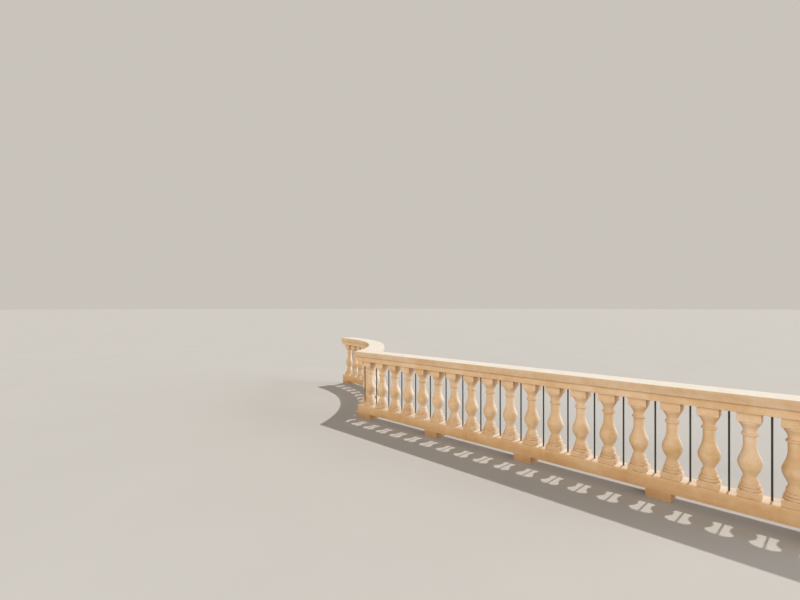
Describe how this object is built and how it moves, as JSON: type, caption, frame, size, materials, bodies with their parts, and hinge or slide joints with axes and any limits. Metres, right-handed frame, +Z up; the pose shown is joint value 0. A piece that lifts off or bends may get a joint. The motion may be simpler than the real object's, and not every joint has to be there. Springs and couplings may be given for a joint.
{
  "type": "stone balustrade",
  "caption": "Low stone balustrade with turned balusters, thin iron bars in the gaps, a wide top rail and a footed bottom rail; a straight run meets a curved length at a mitred corner.",
  "frame": {"origin": "on the floor, on the underside of the corner foot, under the crossing of the two centre lines at the corner", "axes": "+X along the straight run away from the corner, +Y to the outer side, +Z up; the terrace side is -Y"},
  "size_m": [7.2394, 1.7807, 0.927],
  "materials": {
    "cast_stone": "matte, fine grained, weathered",
    "black_iron": "satin black paint"
  },
  "bodies": {
    "root": {"top_rail_1": "cast_stone", "top_rail_2": "cast_stone", "top_rail_3": "cast_stone", "top_rail_4": "cast_stone", "curved_top_rail_1": "cast_stone", "curved_top_rail_2": "cast_stone", "bottom_rail_1": "cast_stone", "bottom_rail_2": "cast_stone", "bottom_rail_3": "cast_stone", "bottom_rail_4": "cast_stone", "curved_bottom_rail_1": "cast_stone", "curved_bottom_rail_2": "cast_stone", "corner_foot": "cast_stone", "foot_1": "cast_stone", "foot_2": "cast_stone", "foot_3": "cast_stone", "run_end_foot": "cast_stone", "curved_foot_1": "cast_stone", "wall_end_foot": "cast_stone", "balusters_1": "cast_stone", "balusters_2": "cast_stone", "balusters_3": "cast_stone", "balusters_4": "cast_stone", "curved_balusters_1": "cast_stone", "curved_balusters_2": "cast_stone", "corner_bar": "black_iron", "iron_bars_1": "black_iron", "iron_bars_2": "black_iron", "iron_bars_3": "black_iron", "iron_bars_4": "black_iron", "curved_iron_bars_1": "black_iron", "curved_iron_bars_2": "black_iron"}
  },
  "joints": []
}
